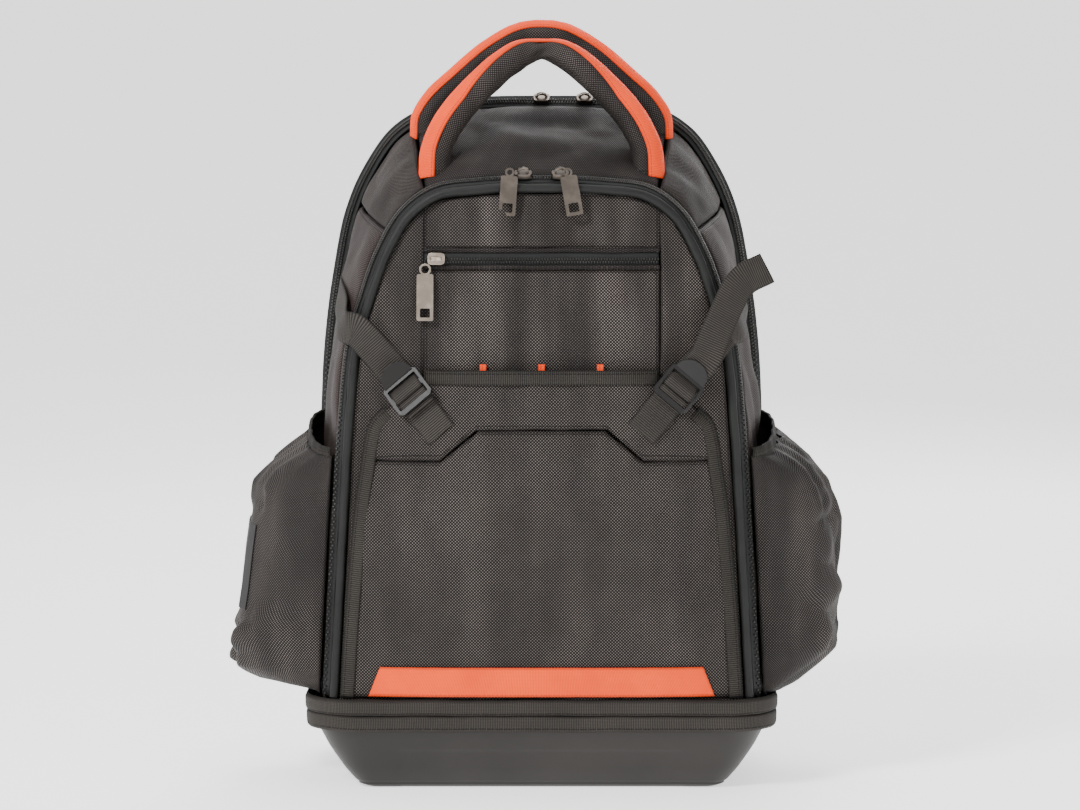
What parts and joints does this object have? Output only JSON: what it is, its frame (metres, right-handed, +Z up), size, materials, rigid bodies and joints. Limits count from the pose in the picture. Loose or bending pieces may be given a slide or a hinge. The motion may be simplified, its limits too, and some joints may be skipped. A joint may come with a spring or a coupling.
{
  "type": "tool backpack",
  "caption": "Soft tool backpack on a moulded tub, with arched zips, a lower front pocket, side pockets, buckled straps, padded shoulder straps and twin padded top handles.",
  "frame": {"origin": "middle of the underside of the tub, on the floor, midway between the side walls", "axes": "+Z up, -Y towards the front pocket, +X towards the strap with the long loose tail"},
  "size_m": [0.4685, 0.2914, 0.5893],
  "materials": {
    "cloth": "coated ballistic weave",
    "padding": "air mesh over foam",
    "webbing": "woven nylon webbing",
    "orange": "woven nylon webbing",
    "tape": "coated zip tape and piping",
    "tub": "fine grain",
    "plastic": "satin",
    "patch": "satin",
    "gunmetal": "dark plated",
    "nickel": "satin plated"
  },
  "bodies": {
    "root": {"gusset_top": "cloth", "gusset_shoulder_left": "cloth", "gusset_shoulder_right": "cloth", "gusset_side_left": "cloth", "gusset_side_right": "cloth", "rear_gusset": "cloth", "back_panel": "cloth", "panel_top": "cloth", "panel_middle": "cloth", "panel_left": "cloth", "panel_right": "cloth", "pocket_yoke": "cloth", "pocket_face": "cloth", "handle_front_pad": "cloth", "handle_rear_pad": "cloth", "side_pocket_left": "cloth", "side_pocket_right": "cloth", "back_pad": "padding", "shoulder_strap_left": "padding", "shoulder_strap_right": "padding", "base_band_upper": "webbing", "base_band_lower": "webbing", "main_binding": "webbing", "pocket_top_binding": "webbing", "pocket_binding_left": "webbing", "pocket_binding_right": "webbing", "strap_left": "webbing", "strap_right": "webbing", "strap_tail": "webbing", "strap_tab_left": "webbing", "strap_tab_right": "webbing", "side_hem_left": "webbing", "side_hem_right": "webbing", "strap_webbing_left": "webbing", "strap_webbing_right": "webbing", "handle_front_webbing": "orange", "handle_rear_webbing": "orange", "orange_patch": "orange", "tool_loop_left": "orange", "tool_loop_middle": "orange", "tool_loop_right": "orange", "main_zip": "tape", "front_zip": "tape", "front_piping": "tape", "pocket_zip": "tape", "base_tub": "tub", "buckle_left": "plastic", "buckle_right": "plastic", "adjuster_left": "plastic", "adjuster_right": "plastic", "side_patch": "patch", "slider_front_left": "gunmetal", "slider_front_right": "gunmetal", "pull_front_left": "gunmetal", "pull_front_right": "gunmetal", "slider_rear_left": "gunmetal", "slider_rear_right": "gunmetal", "slider_pocket": "nickel", "pull_pocket": "nickel", "side_eyelet": "nickel"}
  },
  "joints": []
}
